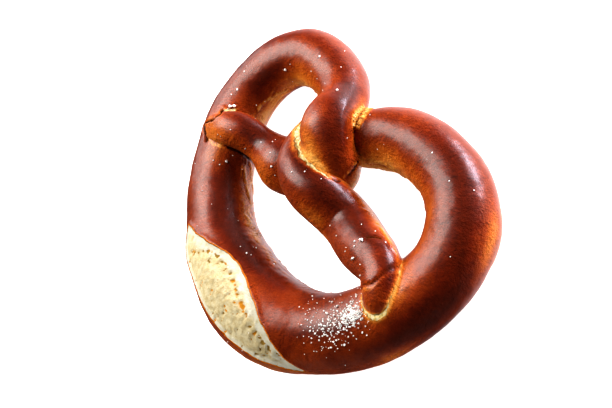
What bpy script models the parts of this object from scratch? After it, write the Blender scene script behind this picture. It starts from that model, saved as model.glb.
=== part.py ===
"""A soft pretzel, baked in one piece.

One rope of dough, thick in the middle and thin at its ends, is laid as a ring. Its two arms cross over
each other twice, in a full twist, and their ends are pressed onto the ring's limbs. The thick belly was
slit along its outer side before baking, and has burst open there. The pretzel lies on its flat base.
"""

import bpy
import numpy as np

MM = 0.001

# Where the rope lies, from the left arm's end to the right arm's end, in mm: how far right and how far
# up the tray its middle is, how far it is lifted off the tray by what it lies on, half its width, and
# its height as a share of its width.
STATIONS = (
    # name               right    up  lift  half  height
    ("left end",         -64.0,   6.0, 14.0,  5.5, 0.72),
    ("left press",       -59.5,   7.0, 15.5,  6.0, 0.74),
    ("left hip",         -50.0,  10.0, 15.0,  7.5, 0.80),
    ("left arm",         -37.5,   9.5,  9.0,  7.5, 0.90),
    ("left root",        -25.0,   7.5,  3.5, 11.0, 0.95),
    ("left under",       -11.0,   7.0,  2.5,  8.5, 0.95),
    ("left turn",          2.0,  14.0,  7.0,  9.5, 0.95),
    ("left over",         -3.5,  26.0, 14.0, 11.3, 0.95),
    ("left fall",        -10.5,  38.5,  8.0, 10.3, 0.95),
    ("left loop inner",  -27.0,  49.0,  1.5, 11.0, 0.95),
    ("left loop top",    -49.0,  50.0,  0.0, 12.0, 0.95),
    ("left loop outer",  -63.0,  30.0,  0.0, 12.0, 0.95),
    ("left limb top",    -62.0,   9.5,  0.0, 13.0, 0.95),
    ("left limb",        -54.5,  -8.0,  0.0, 13.3, 0.95),
    ("left shoulder",    -40.0, -26.0,  0.0, 14.6, 0.95),
    ("belly left",       -13.5, -41.5,  0.0, 17.7, 0.95),
    ("belly right",       13.0, -45.5,  0.0, 17.2, 0.95),
    ("belly end",         32.0, -39.5,  0.0, 14.9, 0.95),
    ("right shoulder",    47.5, -28.0,  0.0, 14.4, 0.95),
    ("right limb",        58.0, -12.0,  0.0, 13.8, 0.95),
    ("right limb top",    63.0,   5.0,  0.0, 13.3, 0.95),
    ("right loop outer",  59.0,  20.5,  0.0, 13.3, 0.95),
    ("right loop corner", 46.0,  32.0,  0.0, 12.5, 0.95),
    ("right loop top",    29.0,  37.0,  0.0, 12.3, 0.95),
    ("right loop inner",  13.0,  35.5,  0.0, 12.0, 0.95),
    ("right fall",         0.5,  31.0,  0.5, 11.3, 0.95),
    ("right under",      -10.5,  28.5,  2.0, 11.5, 0.95),
    ("right turn",       -16.5,  20.5,  7.0,  9.2, 0.95),
    ("right over",        -9.5,   8.5, 15.0,  8.2, 0.95),
    ("right root",         4.5,   3.5, 12.0, 10.2, 0.95),
    ("right arm",         15.0,   0.5,  5.5, 10.0, 0.95),
    ("right hip",         33.5,  -5.0,  9.0, 10.0, 0.92),
    ("right press",       49.5, -11.0, 17.0,  7.3, 0.84),
    ("right end",         53.5, -18.0, 19.0,  5.4, 0.80),
    ("right tip",         56.5, -22.5, 20.0,  3.6, 0.70),
)
SINK = 0.66  # the rope's middle is this share of its half-width above what it lies on
END_ROUND = 4.0  # length over which each end closes, mm

MIDDLE_RINGS = 160
END_RINGS = 6
SIDES = 32

# The burst slit's edges. Distances go along the rope in mm, from the left arm's end. Angles go round it
# in degrees, from its outer side (0) over its top (90) to its inner side (180).
SPLIT_EDGES = (
    # along, outer edge, inner edge
    (236.0, 58.0, 60.0),
    (246.0, 46.0, 88.0),
    (256.0, 39.0, 107.0),
    (269.0, 25.0, 121.0),
    (284.0, 19.0, 108.0),
    (296.0, 17.0, 74.0),
    (305.0, 12.0, 18.0),
)
SPLIT_STEP = 1.2  # how far the crumb lies below the crust's edge, mm
SPLIT_CROWN = 1.0  # how far the crumb swells out between the edges, mm

CRUST_COLOUR = (0.24, 0.055, 0.014, 1.0)


def ring_places(length):
    """Distances of the rings along the rope: even in its middle, closer together where an end rounds off."""
    closing = END_ROUND * (1 - np.cos(np.linspace(0.0, np.pi / 2, END_RINGS, endpoint=False)))
    even = np.linspace(END_ROUND, length - END_ROUND, MIDDLE_RINGS)
    return np.concatenate([closing, even, length - closing[::-1]])


def smooth_line(knots):
    """A natural cubic spline through the knots' rows, by chord length.

    Returns a row for each ring, and the rings' distances along the line.
    """
    steps = np.linalg.norm(np.diff(knots[:, :3], axis=0), axis=1)
    at = np.concatenate([[0.0], np.cumsum(steps)])
    system = np.eye(len(knots))
    pull = np.zeros_like(knots)
    slopes = np.diff(knots, axis=0) / steps[:, None]
    inner = np.arange(1, len(knots) - 1)
    system[inner, inner - 1] = steps[:-1]
    system[inner, inner] = 2 * (steps[:-1] + steps[1:])
    system[inner, inner + 1] = steps[1:]
    pull[1:-1] = 6 * np.diff(slopes, axis=0)
    bend = np.linalg.solve(system, pull)
    along = ring_places(at[-1])
    span = np.clip(np.searchsorted(at, along, side="right") - 1, 0, len(steps) - 1)
    width = steps[span][:, None]
    after = (along - at[span])[:, None] / width
    before = 1 - after
    line = (
        before * knots[span]
        + after * knots[span + 1]
        + ((before**3 - before) * bend[span] + (after**3 - after) * bend[span + 1]) * width**2 / 6
    )
    return line, along


def rope_knots():
    """The stations as rows of x, y, z of the rope's middle, its half-width and its height share, in mm."""
    table = np.array([station[1:] for station in STATIONS])
    x, y, lift, half, share = table.T
    return np.stack([x, y, SINK * half + lift, half, share], axis=1)


def end_rounding(along):
    """The share of its width that the rope keeps near its ends: a quarter ellipse over END_ROUND."""
    from_end = np.minimum(along, along[-1] - along)
    reach = np.clip(from_end / END_ROUND, 0.0, 1.0)
    return np.sqrt(np.clip(1 - (1 - reach) ** 2, 0.002, 1.0))


def split_relief(along, around):
    """How far the burst slit's surface lies outside the rope's, in mm, for grids of place and angle.

    The crumb drops by a step inside the crust's edges and swells to a crown between them.
    """
    place, outer, inner = np.array(SPLIT_EDGES).T
    low, high = np.interp(along, place, outer), np.interp(along, place, inner)
    widest = (inner - outer).max()
    opening = np.clip((high - low) / widest, 0.0, 1.0) * ((along > place[0]) & (along < place[-1]))
    middle, half = (low + high) / 2, (high - low) / 2
    across = np.abs((around - middle + 180) % 360 - 180) / half
    inside = np.clip(1 - across, 0.0, 1.0)
    step = -SPLIT_STEP * np.clip(5 * inside, 0.0, 1.0)
    crown = (SPLIT_STEP + SPLIT_CROWN) * np.clip(1 - across**2, 0.0, 1.0)
    return (step + crown) * np.sqrt(opening)


def rope_surface():
    """Points of the rope's skin as a rings x sides grid, in mm: an oval section carried along the line."""
    line, along = smooth_line(rope_knots())
    middle, half, share = line[:, :3], line[:, 3] * end_rounding(along), line[:, 4]
    ahead = np.gradient(middle, along, axis=0)
    ahead /= np.linalg.norm(ahead, axis=1)[:, None]
    outward = np.cross(ahead, (0.0, 0.0, 1.0))
    outward /= np.linalg.norm(outward, axis=1)[:, None]
    upward = np.cross(outward, ahead)
    turn = np.linspace(0.0, 2 * np.pi, SIDES, endpoint=False)
    radial = (
        np.cos(turn)[None, :, None] * outward[:, None, :]
        + (share[:, None] * np.sin(turn))[:, :, None] * upward[:, None, :]
    )
    relief = split_relief(along[:, None], np.degrees(turn)[None, :])
    return middle[:, None, :] + (half[:, None] + relief)[:, :, None] * radial


def tube_faces(rings, sides):
    """Quads between neighbouring rings of a grid, and one face that closes each end."""
    ring, side = np.meshgrid(np.arange(rings - 1), np.arange(sides), indexing="ij")
    beside = (side + 1) % sides
    quads = np.stack(
        [ring * sides + side, (ring + 1) * sides + side, (ring + 1) * sides + beside, ring * sides + beside],
        axis=-1,
    ).reshape(-1, 4)
    first = list(range(sides))
    last = [(rings - 1) * sides + corner for corner in reversed(range(sides))]
    return quads.tolist() + [first, last]


def make_rope():
    """The rope's skin as one closed tube that runs through itself where its strands touch."""
    grid = rope_surface()
    points = grid.reshape(-1, 3)
    low, high = points.min(axis=0), points.max(axis=0)
    points[:, :2] -= (low[:2] + high[:2]) / 2
    mesh = bpy.data.meshes.new("pretzel")
    mesh.from_pydata((points * MM).tolist(), [], tube_faces(*grid.shape[:2]))
    mesh.validate()
    rope = bpy.data.objects.new("pretzel", mesh)
    bpy.context.scene.collection.objects.link(rope)
    return rope


def make_tray():
    """A slab below the tray's surface, which cuts the pretzel's flat base. It isn't part of the pretzel."""
    bpy.ops.mesh.primitive_cube_add(size=1.0)
    tray = bpy.context.object
    tray.name = "tray"
    depth = 40.0
    tray.scale = (300 * MM, 300 * MM, depth * MM)
    tray.location = (0.0, 0.0, -depth / 2 * MM)
    tray.hide_render = True
    tray.display_type = "WIRE"
    return tray


def fuse_on_tray(rope, tray):
    """Joins the strands where they run into each other, and cuts off what is below the tray."""
    cut = rope.modifiers.new("flat base", "BOOLEAN")
    cut.operation = "DIFFERENCE"
    cut.solver = "EXACT"
    cut.use_self = True
    cut.object = tray
    bpy.context.view_layer.objects.active = rope
    bpy.ops.object.modifier_apply(modifier=cut.name)
    bpy.data.objects.remove(tray, do_unlink=True)
    rope.data.shade_smooth()
    rope.data.set_sharp_from_angle(angle=np.radians(30.0))


def crust_material():
    """Glossy, deep brown lye crust."""
    crust = bpy.data.materials.new("crust")
    crust.use_nodes = True
    shader = crust.node_tree.nodes["Principled BSDF"]
    shader.inputs["Base Color"].default_value = CRUST_COLOUR
    shader.inputs["Roughness"].default_value = 0.35
    shader.inputs["Metallic"].default_value = 0.0
    return crust


for old in list(bpy.data.objects):
    bpy.data.objects.remove(old, do_unlink=True)
pretzel = make_rope()
pretzel.data.materials.append(crust_material())
fuse_on_tray(pretzel, make_tray())
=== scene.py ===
from itertools import combinations
import bpy
import numpy as np
from mathutils import Matrix, Vector


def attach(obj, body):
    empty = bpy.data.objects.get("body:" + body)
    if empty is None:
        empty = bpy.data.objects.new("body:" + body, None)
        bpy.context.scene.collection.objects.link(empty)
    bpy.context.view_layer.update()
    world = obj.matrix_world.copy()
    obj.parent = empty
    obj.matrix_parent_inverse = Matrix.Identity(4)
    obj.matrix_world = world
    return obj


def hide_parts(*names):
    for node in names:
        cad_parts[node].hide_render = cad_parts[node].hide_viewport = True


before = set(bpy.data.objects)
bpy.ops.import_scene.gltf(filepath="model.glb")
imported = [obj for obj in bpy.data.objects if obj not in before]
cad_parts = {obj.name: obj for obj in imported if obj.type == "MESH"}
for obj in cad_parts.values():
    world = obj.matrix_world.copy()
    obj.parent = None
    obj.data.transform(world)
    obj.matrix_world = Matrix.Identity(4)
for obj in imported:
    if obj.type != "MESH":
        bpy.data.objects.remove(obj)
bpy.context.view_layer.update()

# ---------------------------------------------------------------------------------------------------
# The table it lies on, the light and the camera.
# A plain white sheet under a large soft light overhead and a little behind, with a weak light beside it
# and two low ones and a pale glow on the loops' side. The camera looks down from the right.
# ---------------------------------------------------------------------------------------------------
MM = 0.001  # a millimetre in metres
LOOK_AT = Vector((-4.0, -2.0, 12.0)) * MM
DISTANCE, ELEVATION, ROLL = 400 * MM, np.radians(50.0), np.radians(60.0)
LENS, FILM, NEAREST = 61.2, 36.0, 0.01  # focal length and film width in mm, nearest sight in metres
SHEET_REACH, SHEET_GREY, SHEET_GLOW = 3.0, (0.7, 0.7, 0.7), 0.7  # metres each way, paint and glow
# The lights: name, the direction they stand in, metres away, width and height, watts, colour.
LIGHTS = (
    ("overhead light", (-0.62, 0.05, 0.78), 1.3, (0.75, 1.0), 28.5, (1.0, 0.975, 0.93)),
    ("left light", (-0.95, 0.10, 0.25), 1.0, (0.5, 0.6), 2.5, (1.0, 1.0, 1.0)),
    ("low light", (0.25, 0.95, 0.16), 0.9, (1.1, 0.3), 11.0, (1.0, 0.93, 0.90)),
    ("low strip", (0.14, 1.0, 0.06), 0.8, (0.4, 0.12), 9.0, (0.86, 0.84, 1.0)),
)
UNMIRRORED = "low light"  # lights the crust without showing in its gloss
# The studio's glow, which the gloss mirrors: the direction it is brightest in, how near to that it
# starts and is full, its strength elsewhere and there, and its colour.
GLOW_HEADING, GLOW_SPREAD, GLOW_STRENGTH = (-0.05, 0.75, -0.66), (0.35, 0.9), (0.03, 1.9)
GLOW_COLOUR = (0.97, 0.92, 0.97)

back = Vector((np.cos(ELEVATION), 0.0, np.sin(ELEVATION)))
across = Vector((0.0, 1.0, 0.0))
over = back.cross(across)
right = np.cos(ROLL) * across - np.sin(ROLL) * over
up = np.sin(ROLL) * across + np.cos(ROLL) * over
camera_data = bpy.data.cameras.new("camera")
camera_data.lens, camera_data.sensor_width, camera_data.clip_start = LENS, FILM, NEAREST
camera = bpy.data.objects.new("camera", camera_data)
turned = Matrix((right, up, back)).transposed().to_4x4()
camera.matrix_world = Matrix.Translation(LOOK_AT + back * DISTANCE) @ turned
bpy.context.scene.collection.objects.link(camera)
bpy.context.scene.camera = camera


def soft_light(name, towards, away, size, power, colour):
    """A rectangular light panel that stands off the pretzel in a direction and faces it."""
    data = bpy.data.lights.new(name, "AREA")
    data.shape = "RECTANGLE"
    data.size, data.size_y = size
    data.energy, data.color = power, colour
    lamp = bpy.data.objects.new(name, data)
    place = Vector(towards).normalized() * away
    lamp.matrix_world = Matrix.Translation(place) @ place.to_track_quat("Z", "Y").to_matrix().to_4x4()
    lamp.visible_glossy = name != UNMIRRORED
    bpy.context.scene.collection.objects.link(lamp)


for light in LIGHTS:
    soft_light(*light)


class Wire:
    """A socket among a finish's nodes. Sums on wires add the Math nodes that work them out."""

    def __init__(self, finish, socket):
        self.finish, self.socket = finish, socket

    def reckon(self, operation, *values):
        """The wire out of a new Math node that works the operation out on the values."""
        return self.finish.add("ShaderNodeMath", {"operation": operation}, dict(enumerate(values)))

    def __add__(self, other):
        return self.reckon("ADD", self, other)

    def __radd__(self, other):
        return self.reckon("ADD", other, self)

    def __sub__(self, other):
        return self.reckon("SUBTRACT", self, other)

    def __rsub__(self, other):
        return self.reckon("SUBTRACT", other, self)

    def __mul__(self, other):
        return self.reckon("MULTIPLY", self, other)

    def __rmul__(self, other):
        return self.reckon("MULTIPLY", other, self)

    def min(self, other):
        return self.reckon("MINIMUM", self, other)

    def max(self, other):
        return self.reckon("MAXIMUM", self, other)

    def between(self, low, high, to_low=0.0, to_high=1.0):
        """A smooth step: to_low where this is at low, to_high where it is at high."""
        values = {"Value": self, "From Min": low, "From Max": high, "To Min": to_low, "To Max": to_high}
        return self.finish.add("ShaderNodeMapRange", {"interpolation_type": "SMOOTHSTEP"}, values)


class Finish:
    """A material, or the world, with the nodes that work it out and the shader they feed."""

    def __init__(self, owner, shader="Principled BSDF"):
        owner.use_nodes = True
        self.owner, self.tree = owner, owner.node_tree
        self.shader = self.tree.nodes[shader]

    def set(self, node, values):
        """Links a node's sockets to wires, or sets them to numbers and colours."""
        for key, value in values.items():
            socket = node.inputs[key]
            if isinstance(value, Wire):
                self.tree.links.new(value.socket, socket)
            elif isinstance(value, tuple) and socket.type == "RGBA":
                socket.default_value = (*value, 1.0)
            else:
                socket.default_value = value

    def add(self, kind, settings=(), values=(), output=0):
        """Adds a node of a type, makes its settings, sets or links its sockets, returns an output."""
        node = self.tree.nodes.new(kind)
        for name, value in dict(settings).items():
            if name == "stops":
                while len(node.color_ramp.elements) < len(value):
                    node.color_ramp.elements.new(0.5)
                for element, (place, colour) in zip(node.color_ramp.elements, value):
                    element.position, element.color = place, (*colour, 1.0)
            else:
                setattr(node, name, value)
        self.set(node, dict(values))
        return Wire(self, node.outputs[output])

    def noise(self, size, detail=2.0, rough=0.5, where=None):
        """Cloudy noise from 0 to 1 whose blotches are about size mm across."""
        where = where or self.add("ShaderNodeTexCoord", output="Object")
        values = {"Vector": where, "Scale": 1.0 / (size * MM), "Detail": detail, "Roughness": rough}
        return self.add("ShaderNodeTexNoise", {}, values, "Fac")

    def noted(self, name):
        """A number kept with the mesh's vertices."""
        return self.add("ShaderNodeAttribute", {"attribute_name": name}, output="Fac")

    def mix(self, share, first, second):
        """Two colours mixed: the first where the share is 0, the second where it is 1."""
        return self.add("ShaderNodeMix", {"data_type": "RGBA"}, {0: share, 6: first, 7: second}, 2)


world = bpy.data.worlds.new("studio")
studio = Finish(world, "Background")
ahead = studio.add("ShaderNodeTexCoord", output="Generated")
pair = {0: ahead, 1: GLOW_HEADING}
facing = studio.add("ShaderNodeVectorMath", {"operation": "DOT_PRODUCT"}, pair, "Value")
strength = facing.between(*GLOW_SPREAD, *GLOW_STRENGTH)
studio.set(studio.shader, {"Color": GLOW_COLOUR, "Strength": strength})
bpy.context.scene.world = world
bpy.context.scene.view_settings.view_transform = "Standard"
bpy.context.scene.view_settings.look = "Medium High Contrast"
bpy.context.scene.view_settings.exposure = 0.35

sheet_mesh = bpy.data.meshes.new("sheet")
sheet_corners = [(x * SHEET_REACH, y * SHEET_REACH, 0) for x, y in ((-1, -1), (1, -1), (1, 1), (-1, 1))]
sheet_mesh.from_pydata(sheet_corners, [], [(0, 1, 2, 3)])
sheet = bpy.data.objects.new("white sheet", sheet_mesh)
bpy.context.scene.collection.objects.link(sheet)
sheet_finish = Finish(bpy.data.materials.new("white sheet"))
sheet_paint = {"Base Color": SHEET_GREY, "Roughness": 0.9}
sheet_glow = {"Emission Color": (1.0, 1.0, 1.0), "Emission Strength": SHEET_GLOW}
sheet_finish.set(sheet_finish.shader, {**sheet_paint, **sheet_glow})
sheet_mesh.materials.append(sheet_finish.owner)
sheet.visible_glossy = False

# ---------------------------------------------------------------------------------------------------
# The baked dough.
# One rope of dough, rolled thick in the middle and thin at its ends and laid as a ring with its arms
# twisted round each other, dipped in lye, slit along the belly and baked glossy and deep brown.
# ---------------------------------------------------------------------------------------------------
# Where the rope's middle lies in mm: right, up the table, lift off the table, half width, height share.
ROPE = np.array(
    (
        (-64.0, 6.0, 14.0, 5.5, 0.72),  # left end, pressed onto the left limb
        (-59.5, 7.0, 15.5, 6.0, 0.74),
        (-50.0, 10.0, 15.0, 7.5, 0.80),
        (-37.5, 9.5, 9.0, 7.5, 0.90),  # left arm
        (-25.0, 7.5, 3.5, 11.0, 0.95),
        (-11.0, 7.0, 2.5, 8.5, 0.95),  # under the other arm
        (2.0, 14.0, 7.0, 9.5, 0.95),
        (-3.5, 26.0, 14.0, 11.3, 0.95),  # over the other arm
        (-10.5, 38.5, 8.0, 10.3, 0.95),
        (-27.0, 49.0, 1.5, 11.0, 0.95),  # left loop
        (-49.0, 50.0, 0.0, 12.0, 0.95),
        (-63.0, 30.0, 0.0, 12.0, 0.95),
        (-62.0, 9.5, 0.0, 13.0, 0.95),  # left limb
        (-54.5, -8.0, 0.0, 13.3, 0.95),
        (-40.0, -26.0, 0.0, 14.6, 0.95),
        (-13.5, -41.5, 0.0, 17.7, 0.95),  # belly
        (13.0, -45.5, 0.0, 17.2, 0.95),
        (32.0, -39.5, 0.0, 14.9, 0.95),
        (47.5, -28.0, 0.0, 14.4, 0.95),
        (58.0, -12.0, 0.0, 13.8, 0.95),  # right limb
        (63.0, 5.0, 0.0, 13.3, 0.95),
        (59.0, 20.5, 0.0, 13.3, 0.95),  # right loop
        (46.0, 32.0, 0.0, 12.5, 0.95),
        (29.0, 37.0, 0.0, 12.3, 0.95),
        (13.0, 35.5, 0.0, 12.0, 0.95),
        (0.5, 31.0, 0.5, 11.3, 0.95),
        (-10.5, 28.5, 2.0, 11.5, 0.95),  # under the other arm
        (-16.5, 20.5, 7.0, 9.2, 0.95),
        (-9.5, 8.5, 15.0, 8.2, 0.95),  # over the other arm
        (4.5, 3.5, 12.0, 10.2, 0.95),
        (15.0, 0.5, 5.5, 10.0, 0.95),  # right arm
        (33.5, -5.0, 9.0, 10.0, 0.92),
        (49.5, -11.0, 17.0, 7.3, 0.84),
        (53.5, -18.0, 19.0, 5.4, 0.80),
        (56.5, -22.5, 20.0, 3.6, 0.70),  # right tip, pressed onto the right limb
    )
)
SINK = 0.66  # the middle's height above what it lies on, as a share of its half width
END_ROUND = np.array((2.8, 4.0))  # mm over which the left and the right end close


def rope_knots():
    """Rows of x, y, z, half width and height share: z is the lift plus SINK times the half width."""
    x, y, lift, half, share = ROPE.T
    return np.stack([x, y, SINK * half + lift, half, share], axis=1)


def knot_places(knots):
    """Distance of each knot along the rope: the chords' lengths added up."""
    return np.concatenate([[0.0], np.cumsum(np.linalg.norm(np.diff(knots[:, :3], axis=0), axis=1))])


def smooth_line(knots, along):
    """The natural cubic spline through the knots' rows, by chord length, at each distance in along."""
    at = knot_places(knots)
    steps = np.diff(at)
    system, pull = np.eye(len(knots)), np.zeros_like(knots)
    inner = np.arange(1, len(knots) - 1)
    system[inner, inner - 1] = steps[:-1]
    system[inner, inner] = 2 * (steps[:-1] + steps[1:])
    system[inner, inner + 1] = steps[1:]
    pull[1:-1] = 6 * np.diff(np.diff(knots, axis=0) / steps[:, None], axis=0)
    bend = np.linalg.solve(system, pull)
    span = np.clip(np.searchsorted(at, along, side="right") - 1, 0, len(steps) - 1)
    width = steps[span][:, None]
    after = (along - at[span])[:, None] / width
    before = 1 - after
    return (
        before * knots[span]
        + after * knots[span + 1]
        + ((before**3 - before) * bend[span] + (after**3 - after) * bend[span + 1]) * width**2 / 6
    )


def spread(low, high, count, density, steps=4000):
    """count places from low to high, closer where density is larger: equal shares of its sum."""
    fine = np.linspace(low, high, steps + 1)
    share = np.concatenate([[0.0], np.cumsum((density(fine[1:]) + density(fine[:-1])) / 2)])
    return np.interp(np.linspace(0.0, share[-1], count), share, fine)


def lumps(points, size, seed, count=30):
    """Smooth lumps about size mm across, spread 1: sine waves in seeded random directions added up."""
    chance = np.random.default_rng(seed)
    heading = chance.normal(size=(count, 3))
    pace = (2 * np.pi / size) * chance.uniform(0.7, 1.4, (count, 1))
    heading *= pace / np.linalg.norm(heading, axis=1)[:, None]
    start = chance.uniform(0, 2 * np.pi, count)
    return np.sin(points @ heading.T + start).sum(axis=-1) * np.sqrt(2 / count)


def ease(value, low, high):
    """0 below low, 1 above high, and between them three squares less two cubes of the way along."""
    t = np.clip((value - low) / (high - low), 0.0, 1.0)
    return t * t * (3 - 2 * t)


KNOTS = rope_knots()
LENGTH = knot_places(KNOTS)[-1]
RINGS, SIDES = 1010, 96
END_REACH = 4.0  # mm at each end where the rings stand closer


def ring_density(s):
    """How close the rings stand along the rope: a third closer at the slit, five times at the ends."""
    at_slit = ease(s, 228, 238) * (1 - ease(s, 304, 314))
    return 1 + 0.3 * at_slit + 4 * (s < END_REACH) + 4 * (s > LENGTH - END_REACH)


def side_density(a):
    """How close the corners of a ring stand at an angle: less than half as close underneath."""
    return np.where((a < -35) | (a > 215), 0.4, 1.0)


rings = spread(0.0, LENGTH, RINGS, ring_density)
# Angles run round the rope from underneath (-90) over its outer side (0), top (90) and hole side (180).
turns = np.radians(spread(-90.0, 270.0, SIDES + 1, side_density)[:-1])


def rope_frame(along):
    """The rope's middle, half width, height share, and its outward and upward directions at each place.

    Outward is level, square to the step from just before the place to just after it; upward is square
    to both.
    """
    row, step = smooth_line(KNOTS, along), 0.05
    ahead = smooth_line(KNOTS, along + step)[:, :3] - smooth_line(KNOTS, along - step)[:, :3]
    ahead /= np.linalg.norm(ahead, axis=1)[:, None]
    outward = np.cross(ahead, (0.0, 0.0, 1.0))
    outward /= np.linalg.norm(outward, axis=1)[:, None]
    return row[:, :3], row[:, 3], row[:, 4], outward, np.cross(outward, ahead)


def closing(along):
    """Share of its half width the rope has: a quarter circle over each end's rounding."""
    reach = np.minimum(along / END_ROUND[0], (LENGTH - along) / END_ROUND[1])
    return np.sqrt(np.clip(1 - (1 - np.clip(reach, 0.0, 1.0)) ** 2, 0.001, 1.0))


middle, half, share, outward, upward = rope_frame(rings)
half = half * closing(rings)
# The left end is stretched a little further over the limb it was pressed on.
END_STRETCH, STRETCHED = 1.6, 7.0
middle -= np.cross(upward, outward) * (END_STRETCH * (1 - ease(rings, 0.0, STRETCHED)))[:, None]
# A ring's corners lie its half width outwards and upwards by the angle's cosine and sine, flattened.
rise = (share[:, None] * np.sin(turns))[..., None]
radial = np.cos(turns)[None, :, None] * outward[:, None] + rise * upward[:, None]
plain = middle[:, None] + half[:, None, None] * radial
centre = (plain[..., :2].min(axis=(0, 1)) + plain[..., :2].max(axis=(0, 1))) / 2

along, around = np.broadcast_arrays(rings[:, None], np.degrees(turns)[None])

FAR = 99.0  # mm, for what is nowhere near
SAME_STRAND = 25.0  # mm along within which it is still the same strand


def gap_to_other_strand(points, along):
    """Distance in mm from each point to another strand's nearest place, less its half width there."""
    place = np.arange(0.0, LENGTH, 1.0)
    centre_line, width, flat = (part for part in rope_frame(place)[:3])
    width = width * closing(place)
    gap = np.empty(points.shape[:2])
    for block in np.array_split(np.arange(len(points)), 24):
        off = points[block][:, :, None] - centre_line
        off[..., 2] /= flat
        other = np.abs(along[block][:, :, None] - place) > SAME_STRAND
        gap[block] = np.where(other, np.linalg.norm(off, axis=-1) - width, FAR).min(axis=-1)
    return gap


def from_line(line, along, around):
    """Distance in mm over the skin to a line of (along, around) corners: to its nearest part."""
    line = np.array(line)
    width = np.interp(line[:, 0], rings, half)
    nearest = np.full(along.shape, FAR)
    for (s0, a0), (s1, a1), w in zip(line[:-1], line[1:], width):
        step = np.array([s1 - s0, np.radians(a1 - a0) * w])
        off = np.stack([along - s0, np.radians((around - a0 + 180) % 360 - 180) * w], axis=-1)
        share = np.clip(off @ step / (step @ step), 0.0, 1.0)
        nearest = np.minimum(nearest, np.linalg.norm(off - share[..., None] * step, axis=-1))
    return nearest


def from_path(path, points):
    """Distance in mm to a path of corners in space: to its nearest part."""
    nearest = np.full(points.shape[:-1], FAR)
    for first, last in zip(np.array(path)[:-1], np.array(path)[1:]):
        step = last - first
        share = np.clip((points - first) @ step / (step @ step), 0.0, 1.0)
        nearest = np.minimum(nearest, np.linalg.norm(points - first - share[..., None] * step, axis=-1))
    return nearest


gap = gap_to_other_strand(plain, along)
# What would reach below the table is pressed flat on it, with a soft bend where the skin lifts off: a
# height becomes half the sum of itself and the root of its square and the bend's square.
SOFT_BEND = 0.6
skin = plain.copy()
skin[..., 2] = (skin[..., 2] + np.sqrt(skin[..., 2] ** 2 + SOFT_BEND**2)) / 2
skin[..., :2] -= centre

# The slit along the belly, burst wide open: where it starts and ends, and its lower and upper edge.
SPLIT = np.array(
    (
        (235.5, 59.0, 62.0),
        (241.0, 44.0, 78.0),
        (248.0, 40.0, 93.0),
        (256.0, 46.0, 108.0),
        (262.0, 48.0, 117.0),
        (269.0, 45.0, 121.5),
        (277.0, 41.5, 117.0),
        (284.0, 37.5, 108.0),
        (290.5, 33.0, 93.0),
        (296.0, 28.0, 75.0),
        (301.0, 21.5, 48.0),
        (307.0, 12.0, 16.0),
    )
)
SMOOTHED = 9  # rings over which the edges' corners are rounded
kernel = np.hanning(SMOOTHED) / np.hanning(SMOOTHED).sum()
low_edge, high_edge = (
    np.convolve(np.pad(np.interp(rings, SPLIT[:, 0], edge), SMOOTHED // 2, "edge"), kernel, "valid")
    for edge in SPLIT.T[1:]
)


def inside_edge(edge, side):
    """Distance in mm inside an edge given as an angle along the rope, allowing for the edge's slope."""
    slope = np.gradient(np.radians(edge), rings) * half
    return side * np.radians(around - edge[:, None]) * half[:, None] / np.sqrt(1 + slope[:, None] ** 2)


# Distance in mm inside the slit, negative outside it.
ragged = 0.16 * lumps(skin, 9.0, 3) + 0.05 * lumps(skin, 3.0, 4)
split = np.minimum(inside_edge(low_edge, 1.0), inside_edge(high_edge, -1.0)) + ragged
from_ends = np.minimum(along - SPLIT[0, 0], SPLIT[-1, 0] - along)
split = np.where(from_ends > 0, split, np.minimum(split, from_ends))
split = np.clip(split, -9.0, 20.0)
opened = ease(split, 0.0, 1.2)

# Torn places where the strands pulled apart as they swelled: a tear on the twist, a light band where
# its strands meet, and a burst between them.
TEAR = (
    (469.5, 66.0), (472.0, 80.0), (475.0, 98.0), (478.5, 117.0), (484.0, 132.0), (490.0, 138.0),
    (495.5, 139.0), (500.0, 143.0),
)
tear = from_line(TEAR, along, around)
tear_half = np.interp(along, (469.0, 478.0, 488.0, 496.0, 501.0), (0.8, 0.9, 0.95, 0.6, 0.0))
tear_half += 0.2 * lumps(skin, 3.0, 29)
torn = ease(tear, tear_half + 0.3, tear_half - 0.3)
halo = (1 - ease(gap, 0.0, 4.2)) * ease(along, 70.0, 75.0) * ease(along, 91.0, 84.0)
halo *= ease(around, 50.0, 85.0) * (around < 215)
BURST = ((1.6, 41.4, 14.6), (2.8, 40.1, 16.3), (3.9, 37.8, 18.5), (4.4, 35.3, 19.8), (4.3, 33.2, 19.4))
burst_away = from_path(BURST, skin)
burst = ease(burst_away, 2.8, 1.0) * ease(gap, 4.5, 2.0)
# Where the right loop comes out from under the twist, the twist is drawn in.
drawn_in = ease(along, 76.0, 81.0) * ease(along, 106.0, 94.0)
drawn_in *= ease(around, 40.0, 4.0) * ease(around, -80.0, -45.0)
# The seams round both ends, the fold across the right tip, and a small nick beside it.
tip_seam = np.where((along > 544) | ((along > 328) & (along < 356)), ease(gap, 1.7, 0.1), 0.0)
FOLD = (
    (555.2, 30.0), (554.6, 57.0), (554.9, 81.0), (554.6, 96.0), (553.1, 113.0), (551.4, 126.0),
    (550.1, 146.0), (549.0, 173.0), (548.0, 200.0),
)
fold = from_line(FOLD, along, around)
fold_side = along - np.interp(around, [corner[1] for corner in FOLD], [corner[0] for corner in FOLD])
NICK = ((538.4, 118.0), (539.4, 132.0), (540.6, 144.0))
nick = ease(from_line(NICK, along, around), 0.8, 0.2)

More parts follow.
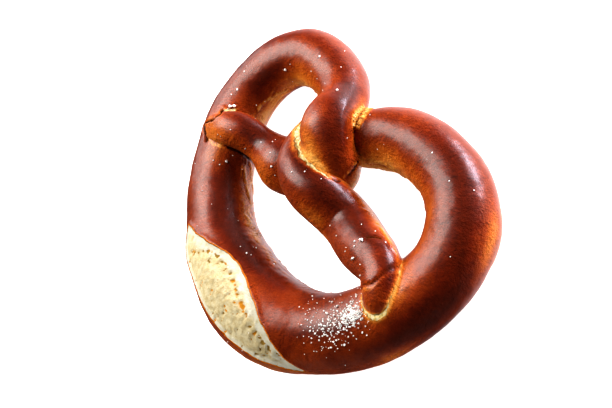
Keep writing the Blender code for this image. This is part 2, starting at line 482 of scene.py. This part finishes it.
# Thin seams over the skin: half width and relief in mm, how much darker it baked (where positive, in
# grooves, this is painted shade), how torn pale, how much painted shade darkens it, and the corners of
# its path.
SEAMS = (
    # The cracked rim of the left end, with painted shade in the crack.
    (1.25, -1.3, 0.0, 0.0, 1.0, ((-61.1, 13.9, 20.3), (-59.6, 12.9, 22.3), (-57.9, 11.5, 24.1),
        (-59.9, 8.5, 23.8), (-64.2, 7.4, 21.4), (-66.7, 6.3, 19.5), (-67.9, 5.1, 18.8),
        (-65.8, 3.8, 19.9), (-63.6, 3.0, 20.6), (-61.9, 1.6, 20.4), (-60.5, 0.2, 20.5))),
    (2.1, 0.6, -0.15, 0.0, 0.0, ((-61.1, 13.9, 20.3), (-57.9, 11.5, 24.1), (-59.9, 8.5, 23.8),
        (-64.2, 7.4, 21.4), (-66.7, 6.3, 19.5), (-67.9, 5.1, 18.8), (-65.8, 3.8, 19.9))),
    # Pale stretches beside the left end, above and below, and the deep crease that runs on, with
    # painted shade.
    (0.75, 0.1, -0.6, 1.0, 0.0, ((-60.9, 13.9, 20.3), (-59.7, 15.0, 19.9), (-57.6, 16.2, 18.9),
        (-56.4, 17.4, 18.0))),
    (0.50, 0.0, -0.45, 0.35, 0.0, ((-60.8, 0.4, 20.5), (-57.1, 0.5, 20.7), (-53.5, 1.2, 20.2),
        (-50.8, 2.0, 19.8))),
    (0.80, -0.4, 0.3, 0.0, 0.9, ((-50.4, 1.8, 19.2), (-48.6, 2.6, 16.9), (-47.1, 3.1, 14.8),
        (-46.1, 3.1, 12.5), (-45.2, 2.4, 9.4))),
    # The crease under the twist with painted shade, its light rim, and the crease where the loop leaves
    # the twist.
    (0.65, -0.6, 0.2, 0.0, 0.9, ((10.2, 11.2, 22.6), (11.7, 11.2, 21.1), (11.4, 13.4, 17.6),
        (11.6, 16.1, 17.0), (11.4, 18.8, 16.4), (10.8, 21.5, 15.4))),
    (0.45, 0.25, -0.45, 0.3, 0.0, ((10.9, 13.1, 18.8), (11.3, 15.0, 18.8), (11.5, 16.8, 18.6),
        (11.5, 19.0, 18.0), (11.0, 21.0, 17.0))),
    # Pleats where the dough sat on the tray, along the hole sides, with painted shade in their grooves.
    (0.50, 0.45, -0.50, 0.25, 0.0, ((11.3, 23.1, 11.2), (15.9, 24.7, 11.9), (19.1, 25.2, 11.7),
        (21.9, 25.2, 10.6), (24.2, 24.9, 8.3), (27.5, 24.9, 5.5), (31.0, 24.8, 3.5))),
    (0.45, -0.35, 0.25, 0.0, 0.0, ((11.0, 22.9, 10.1), (15.9, 24.3, 10.6), (19.1, 24.8, 10.4),
        (21.9, 24.9, 9.2), (24.2, 24.6, 6.9), (27.0, 24.6, 4.2))),
    (0.35, 0.20, -0.35, 0.15, 0.0, ((10.7, 22.3, 7.6), (15.1, 23.6, 7.5), (19.0, 24.0, 6.6))),
    (0.55, 0.50, -0.42, 0.20, 0.0, ((-52.1, 21.7, 11.4), (-52.2, 25.1, 11.3), (-51.6, 28.1, 10.3),
        (-50.3, 31.0, 9.2), (-48.9, 33.8, 7.5), (-46.0, 36.6, 6.0))),
    (0.40, 0.20, -0.30, 0.10, 0.0, ((-50.0, 17.5, 9.0), (-49.8, 22.0, 8.4), (-49.2, 26.0, 7.4),
        (-47.6, 30.0, 6.0), (-45.0, 33.5, 4.6))),
    (0.60, 0.50, -0.32, 0.20, 0.0, ((-44.5, 0.8, 8.1), (-42.3, -3.3, 6.3), (-41.0, -6.0, 4.0),
        (-40.2, -9.6, 2.2))),
    (0.60, 0.50, -0.32, 0.20, 0.0, ((-46.0, 2.0, 10.4), (-42.4, -2.9, 11.3), (-39.8, -6.2, 10.5),
        (-36.9, -9.1, 9.1), (-33.0, -12.8, 8.0))),
    (0.45, 0.25, -0.25, 0.15, 0.0, ((14.7, 10.8, 17.6), (19.7, 8.7, 16.5), (24.5, 7.0, 16.6),
        (27.8, 6.9, 15.3))),
    (0.55, 0.35, -0.15, 0.05, 0.0, ((34.0, 5.0, 17.2), (37.5, 4.0, 18.6), (40.6, 3.0, 20.4),
        (44.3, 1.6, 21.8), (47.3, 0.5, 21.8), (51.6, -1.9, 22.0))),
    (0.50, -0.35, 0.1, 0.0, 0.0, ((35.0, 4.6, 18.6), (40.2, 2.6, 21.2), (44.0, 1.1, 22.8),
        (47.8, -0.6, 23.2))),
)
# Pleats along the ring's hole side, where the dough drew in as it spread on the tray: a zigzag round
# the rope, cubed to sharpen its ridges, that wanders and fades in lumps.
PLEAT = 2.7  # mm from one pleat to the next
drawn_under = ease(around, 150.0, 166.0) * ease(around, 214.0, 198.0)
drawn_under = drawn_under * ease(along, 108.0, 122.0) * ease(along, 450.0, 436.0)
around_arc = np.radians(around) * half[:, None] + 1.3 * lumps(skin, 14.0, 44)
pleats = drawn_under * (1 - np.abs(2 * (around_arc / PLEAT % 1.0) - 1)) ** 3
pleats *= ease(lumps(skin, 9.0, 45), -0.9, 0.5)
# How far each seam has set in at each point: fully within 0.4 of its half width, not at all beyond 1.5.
wavy = skin + 0.3 * np.stack([lumps(skin, 5.0, seed) for seed in (41, 42, 43)], axis=-1)
seams = [ease(from_path(row[-1], wavy), 1.5 * row[0], 0.4 * row[0]) for row in SEAMS]

# The fillet in mm that fills in where strands press together: a quarter of its reach, by the square of
# the share of it that the gap leaves over.
pressed = 1.0 + 2.6 * np.clip(halo + burst + tip_seam, 0, 1) + 1.2 * (along < 20)
fillet = pressed * np.clip(1 - np.abs(gap) / pressed, 0.0, 1.0) ** 2 / 4
# The skin's relief in mm outwards: the dough's unevenness, the seams and the torn crumb.
relief = 0.16 * lumps(skin, 26.0, 11) + 0.04 * lumps(skin, 9.0, 12) + 0.02 * lumps(skin, 3.5, 13)
relief += sum(row[1] * seam for row, seam in zip(SEAMS, seams)) + 0.38 * pleats
band = 3.4 + 0.7 * lumps(skin, 6.0, 20)
crumb_rough = ease(split, 0.8, 2.0) * ease(inside_edge(high_edge, -1.0), band - 0.8, band + 0.8)
relief += opened * (-0.55 + 1.5 * np.clip(split / 14.0, 0, 1))
relief += crumb_rough * (0.09 * lumps(skin, 3.6, 21) + 0.035 * lumps(skin, 1.7, 22) - 0.3)
# The row of deep pores where the smooth band of crumb meets the rough one, and a few wide ones.
PORES = (
    (248.0, 64.0), (251.0, 73.0), (254.0, 92.0), (258.0, 103.0), (265.0, 107.0), (272.0, 105.0),
    (279.0, 98.0), (285.0, 87.0), (290.0, 73.0), (296.0, 55.0), (302.0, 34.0),
)
pore = ease(from_line(PORES, along, around), 1.5, 0.4) * ease(lumps(skin, 2.6, 25), -0.2, 0.7)
pore = np.maximum(pore, crumb_rough * ease(lumps(skin, 2.2, 26) + 0.5 * lumps(skin, 7.0, 27), 1.7, 2.2))
by_low_edge = ease(split, 2.4, 0.9) * ease(split, 0.2, 0.7)
by_low_edge *= ease(inside_edge(high_edge, -1.0), 3.0, 5.0)
pore = np.maximum(pore, by_low_edge * ease(lumps(skin, 2.4, 28), 0.7, 1.3) * ease(along, 243.0, 250.0))
relief -= 0.55 * pore * opened
relief += 0.35 * ease(np.abs(split + 0.5), 1.2, 0.2)
relief += -0.5 * torn + torn * 0.25 * lumps(skin, 1.5, 23) + burst * (0.3 * lumps(skin, 1.6, 24) + 0.2)
relief -= 0.8 * nick + 2.3 * drawn_in
relief -= 0.28 * ease(fold, 0.8, 0.2)
relief += 0.2 * ease(fold_side, 0.0, -0.6) * ease(fold_side, -5.0, -1.0) * (along > 540)
relief *= ease(skin[..., 2], 0.1, 2.0)
skin += (relief + fillet)[..., None] * (radial / np.linalg.norm(radial, axis=-1, keepdims=True))
skin[..., 2] = np.maximum(skin[..., 2], 0.0)

# Patches painted darker or lighter, partly where the oven baked darker or lighter and partly painted
# shade and painted highlights, each fading as a bell curve both ways: along, around, half size along in
# mm and around in degrees, and how much darker.
PATCHES = (
    (3, 60, 12, 60, -0.13),
    (8, 20, 8, 42, -0.14),
    (24, 120, 9, 28, 0.28),
    (40, -10, 40, 70, -0.10),
    (44, 112, 6, 24, 0.28),
    (25, 103, 6, 24, 0.22),
    (36, 68, 8, 22, -0.14),
    (10, 84, 8, 34, -0.12),
    (42, 38, 10, 28, -0.17),
    (72, -20, 8, 26, -0.40),
    (72, 40, 8, 26, -0.12),
    (77, 118, 12, 22, -0.20),
    (80, 110, 8, 26, -0.25),
    (96, 0, 8, 26, -0.29),
    (94, 45, 16, 28, 0.26),
    (128, 150, 24, 42, -0.26),
    (130, 178, 18, 20, -0.25),
    (152, 60, 40, 16, 0.12),
    (152, 210, 14, 16, 0.45),
    (160, 130, 14, 16, 0.27),
    (176, 160, 14, 16, 0.14),
    (192, 150, 14, 16, -0.18),
    (184, 180, 40, 26, -0.40),
    (200, 110, 14, 26, -0.23),
    (200, 180, 8, 26, 0.62),
    (248, 140, 40, 17, 0.34),
    (232, 122, 16, 14, 0.25),
    (276, 14, 34, 24, -0.05),
    (292, 6, 18, 20, -0.28),
    (320, 80, 12, 12, 0.18),
    (248, 170, 24, 16, -0.39),
    (336, 0, 8, 16, -0.24),
    (346, 90, 14, 34, -0.26),
    (352, -20, 14, 16, 0.30),
    (352, 30, 16, 26, 0.34),
    (376, 10, 8, 16, -0.37),
    (376, 120, 24, 26, -0.15),
    (386, 62, 26, 20, 0.26),
    (398, 92, 20, 20, 0.10),
    (440, 170, 40, 42, -0.55),
    (464, 170, 14, 42, 0.53),
    (504, 50, 8, 26, -0.26),
    (500, 122, 12, 32, 0.26),
    (485, 128, 10, 14, 0.25),
    (520, 118, 24, 20, 0.38),
    (520, 12, 13, 26, -0.30),
    (528, 170, 24, 16, -0.42),
    (552, 150, 8, 26, 0.26),
    (560, 80, 8, 70, -0.15),
    (560, 170, 8, 16, -0.40),
)

# How dark the oven baked it, with the painted shade and painted highlights of the patches and grooves
# added, from 0 for pale dough to 1 for nearly black.
height = skin[..., 2]
bake = 0.69 + 0.02 * lumps(skin, 14.0, 31) + 0.015 * lumps(skin, 5.0, 32)
bake -= 0.34 * ease(height, 11.0, 0.5)
# The patches add to the bake both the crust's own tone and painted shade and painted highlights.
for place, angle, long, wide, darker in PATCHES:
    turned = (around - angle + 180) % 360 - 180
    bake += darker * np.exp(-(((along - place) / long) ** 2) - (turned / wide) ** 2)
bake -= 0.10 * ease(gap, 3.0, 0.2) * (height > 4)
bake -= 0.34 * halo + 0.52 * burst + 0.42 * tip_seam**1.5
# A pale line just past the fold: a painted highlight along its lower lip.
bake -= 0.22 * ease(np.abs(fold_side - 1.3), 0.8, 0.1) * (fold < 3)
bake -= 0.5 * ease(tear, tear_half + 2.6, tear_half + 0.2)
bake += sum(row[2] * seam for row, seam in zip(SEAMS, seams)) + 0.02 * drawn_under - 0.32 * pleats
bake = np.clip(bake, 0.18, 0.92)
# Where the dough tore and stayed pale, and painted shade, nearly black, in the cracks, creases, the
# nick and under the fold's raised side, each from 0 to 1.
pale = torn + 0.5 * burst * (lumps(skin, 1.8, 33) > 0.5)
pale += 0.9 * ease(gap + 0.10 * lumps(skin, 2.0, 34), 0.20, 0.0) * (tip_seam > 0)
pale = np.clip(pale, 0.0, 1.0)
pale = np.clip(pale + sum(row[3] * seam for row, seam in zip(SEAMS, seams)), 0.0, 1.0)
# Painted shade in the nick, and a painted shadow under the fold's raised side.
dark = nick + 0.7 * ease(fold, 0.5, 0.1) * (fold_side < 0.3)
dark = np.clip(dark + sum(row[4] * seam for row, seam in zip(SEAMS, seams)), 0.0, 1.0)

crust_mesh = bpy.data.meshes.new("crust")
ring, side = np.meshgrid(np.arange(RINGS - 1), np.arange(SIDES), indexing="ij")
beside = (side + 1) % SIDES
first, second = ring * SIDES, (ring + 1) * SIDES
quads = np.stack([first + side, second + side, second + beside, first + beside], -1)
ends = [list(range(SIDES)), [(RINGS - 1) * SIDES + k for k in reversed(range(SIDES))]]
crust_mesh.from_pydata((skin.reshape(-1, 3) * MM).tolist(), [], quads.reshape(-1, 4).tolist() + ends)
crust_mesh.shade_smooth()
crust = bpy.data.objects.new("crust", crust_mesh)
bpy.context.scene.collection.objects.link(crust)


def note(mesh, name, values):
    """Keeps one number for each vertex with the mesh, for the finish to read."""
    values = np.ascontiguousarray(values, dtype=np.float32).ravel()
    mesh.attributes.new(name, "FLOAT", "POINT").data.foreach_set("value", values)


# Along and across are metres over the skin. They lay out the wrinkles, which are about three times as
# long round the rope as along it.
STRETCH = 0.3
across_skin = np.radians(around) * half[:, None]
note(crust_mesh, "along", along * MM)
note(crust_mesh, "across", across_skin * STRETCH * MM)
note(crust_mesh, "split", split)
note(crust_mesh, "bake", bake)
note(crust_mesh, "pale", pale)
note(crust_mesh, "dark", dark)
note(crust_mesh, "rough crumb", crumb_rough)
note(crust_mesh, "pore", pore)

# The crust: a brown ramp by how dark it baked, with painted shade and painted highlights in it, pale
# where it tore, painted shade nearly black in the creases, all under a clear gloss.
glaze = Finish(bpy.data.materials.new("baked crust"))
glaze.set(glaze.shader, {"Specular IOR Level": 0.0, "Coat Roughness": 0.32, "Coat IOR": 1.3})
fine, specks = glaze.noise(1.1, 3.0, 0.6), glaze.noise(0.55, 1.0)
bake = glaze.noted("bake") + (glaze.noise(5.0, 4.0, 0.65) - 0.5) * 0.10 + (fine - 0.5) * 0.12
brown = glaze.add(
    "ShaderNodeValToRGB",
    {
        "stops": (
            (0.00, (0.85, 0.66, 0.36)),
            (0.15, (0.80, 0.37, 0.08)),
            (0.30, (0.65, 0.20, 0.028)),
            (0.45, (0.46, 0.10, 0.010)),
            (0.60, (0.27, 0.038, 0.004)),
            (0.80, (0.12, 0.012, 0.002)),
            (1.00, (0.04, 0.005, 0.0015)),
        )
    },
    {"Fac": bake},
)
pale = (glaze.noted("pale") + (fine - 0.5) * 0.5).between(0.35, 0.65)
cells = glaze.mix(glaze.noise(1.4, 1.0).between(0.52, 0.62), (0.68, 0.60, 0.36), (0.35, 0.28, 0.09))
brown = glaze.mix(pale, brown, glaze.mix(specks.between(0.35, 0.65), cells, (0.66, 0.50, 0.20)))
# Painted shade: nearly black in the cracks, the creases, the nick and along the fold.
brown = glaze.mix(glaze.noted("dark").between(0.2, 0.8), brown, (0.055, 0.012, 0.003))
# The open slit: cream crumb with tan and orange pores, darkened partly with painted shade in their
# hollows, and a thin orange line where the crust tore.
edge = glaze.noted("split") + (fine - 0.5) * 0.12
rough, pore = glaze.noted("rough crumb"), glaze.noted("pore")
cloudy = glaze.noise(2.2, 3.0, 0.6).between(0.38, 0.62)
crumb = glaze.mix(cloudy, (0.48, 0.415, 0.26), (0.42, 0.34, 0.185))
# Small pores in the rough crumb: tan dots, partly painted shade in the pits.
small_pores = (glaze.noise(1.3, 1.0).between(0.62, 0.72) * 0.5).min(rough)
crumb = glaze.mix(small_pores, crumb, (0.34, 0.22, 0.07))
smooth = glaze.mix(glaze.noise(3.0, 2.0).between(0.5, 0.75), (0.50, 0.475, 0.38), (0.44, 0.40, 0.265))
crumb = glaze.mix(rough, smooth, crumb)
# The pores' orange-brown: partly their baked colour, partly painted shade in the hollows.
hole = glaze.mix(glaze.noise(5.0, 0.0).between(0.45, 0.6), (0.24, 0.14, 0.03), (0.46, 0.19, 0.02))
crumb = glaze.mix((pore + (fine - 0.5) * 0.6).between(0.3, 0.8), crumb, hole)
line = edge.between(-0.6, -0.25)
brown = glaze.mix(line, brown, (0.62, 0.17, 0.012))
inside = edge.between(-0.05, 0.2)
# Fine blisters and wrinkles stand up in the crust, hardly at all on open dough, which has no gloss.
dough = inside.max(pale)
laid_out = {"X": glaze.noted("along"), "Y": glaze.noted("across")}
over_skin = glaze.add("ShaderNodeCombineXYZ", {}, laid_out)
wrinkles = glaze.noise(1.4, 3.0, 0.6, where=over_skin)
blisters = glaze.noise(0.9, 3.0, 0.65) * 0.8 + wrinkles * 0.5 + glaze.noise(3.0, 2.0, 0.55) * 0.5
standing = {"Height": blisters * (1 - dough * 0.8), "Distance": 2.0 * MM, "Strength": 1.0}
glaze.set(
    glaze.shader,
    {
        "Base Color": glaze.mix(inside, brown, crumb),
        "Roughness": 0.5 + dough * 0.4,
        "Coat Weight": (1 - dough.max(glaze.noted("dark")).max(line)) * 0.9,
        "Normal": glaze.add("ShaderNodeBump", {}, standing),
    },
)
crust_mesh.materials.append(glaze.owner)
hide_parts("pretzel")
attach(crust, "root")

# ---------------------------------------------------------------------------------------------------
# The salt.
# Coarse white crystals strewn over the crust and baked on, with a thick drift of fine salt on the belly
# beside the right tip. Each is a lump with flat faces, sunk a little into the crust.
# ---------------------------------------------------------------------------------------------------
# The largest crystals: along, around, length in mm, slimness.
CRYSTALS = (
    (182.9, 117, 2.0, 0.8), (183.7, 110, 2.0, 0.8), (538.6, 105, 1.7, 0.9), (147.4, 138, 1.5, 0.9),
    (540.5, 62, 1.9, 0.55), (97.5, 68, 1.4, 0.8), (209.5, 133, 1.4, 0.8), (175.2, 103, 1.4, 0.6),
    (43.3, 74, 1.1, 0.9), (125.7, 84, 1.0, 0.9), (536.8, 93, 1.0, 0.9), (550.6, 44, 0.8, 0.9),
    (25.0, 48, 0.9, 0.7), (167.5, 88, 0.8, 0.9), (265.2, 138, 0.8, 0.9), (124.6, 118, 0.7, 0.9),
    (535.2, 63, 0.7, 0.9), (387.3, 48, 0.6, 0.9), (531.7, 127, 0.6, 0.9), (16.3, 76, 0.7, 0.9),
    (209.5, 110, 0.7, 0.9), (546.0, 64, 0.7, 0.9), (39.5, 95, 0.6, 0.9), (538.2, 85, 0.8, 0.8),
    (537.3, 144, 0.6, 0.9), (36.0, 118, 0.6, 0.9), (30.5, 100, 0.6, 0.9), (46.0, 62, 0.6, 0.9),
    (211.5, 122, 0.6, 0.9), (178.5, 98, 0.7, 0.9), (333.5, 118, 1.3, 0.6), (324.5, 111, 1.3, 0.7),
    (325.5, 83, 1.3, 0.8), (320.3, 103, 1.1, 0.8), (321.6, 121, 1.1, 0.8), (318.1, 87, 1.1, 0.9),
    (323.3, 98, 1.1, 0.9), (333.3, 90, 1.1, 0.9), (321.9, 62, 1.0, 0.9), (325.1, 54, 1.0, 0.9),
    (327.5, 91, 1.0, 0.9), (332.1, 62, 0.9, 0.9), (328.7, 67, 0.8, 0.9), (316.9, 67, 0.8, 0.9),
    (309.0, 140, 0.6, 0.9),
)
RAISED = 0.25  # of its length by its slimness, how far a crystal's middle stands above the crust
DENTS = (0.72, 1.15)  # how far in and out a crystal's corners are pushed


def crystals(name, place, size, slim, seed):
    """Faceted lumps: for each a 20-faced ball, its corners pushed in and out, turned at random.

    Its seat on the crust is read off the crust's grid, between the four corners round it.
    """
    chance = np.random.default_rng(seed)
    # The ball's corners are those of three crossed golden rectangles, its faces trios of neighbours.
    golden = (1 + 5**0.5) / 2
    corners = np.array([(0, a, b * golden) for a in (-1, 1) for b in (-1, 1)], dtype=float)
    corners = np.concatenate([corners, np.roll(corners, 1, axis=1), np.roll(corners, 2, axis=1)])
    corners /= np.hypot(1, golden)
    apart = np.linalg.norm(corners[:, None] - corners, axis=-1)
    near = apart < 1.2 * apart[apart > 0.1].min()
    trios = combinations(range(len(corners)), 3)
    faces = np.array([trio for trio in trios if near[np.ix_(trio, trio)].all()])
    a, b, c = (corners[faces[:, k]] for k in range(3))
    inward = (np.cross(b - a, c - a) * (a + b + c)).sum(axis=1) < 0
    faces[inward] = faces[inward][:, ::-1]
    count = len(place)
    ring = np.interp(place[:, 0], rings, np.arange(RINGS))
    turn = np.interp(place[:, 1], np.degrees(turns), np.arange(SIDES))
    low_ring, low_turn = ring.astype(int), turn.astype(int)
    ring, turn = (ring - low_ring)[:, None], (turn - low_turn)[:, None]
    seat, outwards = (
        (1 - ring) * ((1 - turn) * grid[low_ring, low_turn] + turn * grid[low_ring, low_turn + 1])
        + ring * ((1 - turn) * grid[low_ring + 1, low_turn] + turn * grid[low_ring + 1, low_turn + 1])
        for grid in (skin, radial)
    )
    seat += outwards * (RAISED * size * slim)[:, None]
    lumpy = corners * chance.uniform(*DENTS, (count, len(corners), 1))
    lumpy *= np.stack([np.ones(count), slim, slim], axis=-1)[:, None]
    spin = np.linalg.qr(chance.normal(size=(count, 3, 3)))[0]
    spin *= np.linalg.det(spin)[:, None, None]
    points = seat[:, None] + 0.5 * size[:, None, None] * (lumpy @ spin)
    all_faces = faces + len(corners) * np.arange(count)[:, None, None]
    mesh = bpy.data.meshes.new(name)
    mesh.from_pydata((points.reshape(-1, 3) * MM).tolist(), [], all_faces.reshape(-1, 3).tolist())
    piece = bpy.data.objects.new(name, mesh)
    bpy.context.scene.collection.objects.link(piece)
    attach(piece, "root")
    return mesh


table = np.array(CRYSTALS)
coarse_mesh = crystals("salt_crystals", table[:, :2], table[:, 2], table[:, 3], 1)
# The drift of fine salt, a thinner veil round it, and single specks over the whole crust, none of them
# where the right tip is pressed down.
chance = np.random.default_rng(7)
drift = np.concatenate(
    [
        chance.normal((330.5, 92.0), (2.4, 8.5), (260, 2)),
        chance.normal((322.0, 86.0), (5.0, 15.0), (170, 2)),
        chance.uniform((308.0, 50.0), (336.0, 140.0), (60, 2)),
        chance.uniform((4.0, 20.0), (562.0, 170.0), (90, 2)),
    ]
)
drift = drift[(drift[:, 0] < 336) | (drift[:, 0] > 345)]
FULL_SIZE, SMALLER = 380, 0.8  # the first of the list are full size, the thinly strewn rest smaller
shrunk = np.where(np.arange(len(drift)) < FULL_SIZE, 1.0, SMALLER)
fine_size = chance.uniform(0.34, 0.95, len(drift)) * shrunk
fine_mesh = crystals("salt_specks", drift, fine_size, np.full(len(drift), 0.8), 2)
salt = Finish(bpy.data.materials.new("baking salt"))
salt.set(salt.shader, {"Base Color": (0.93, 0.92, 0.90), "Roughness": 0.4})
coarse_mesh.materials.append(salt.owner)
fine_mesh.materials.append(salt.owner)
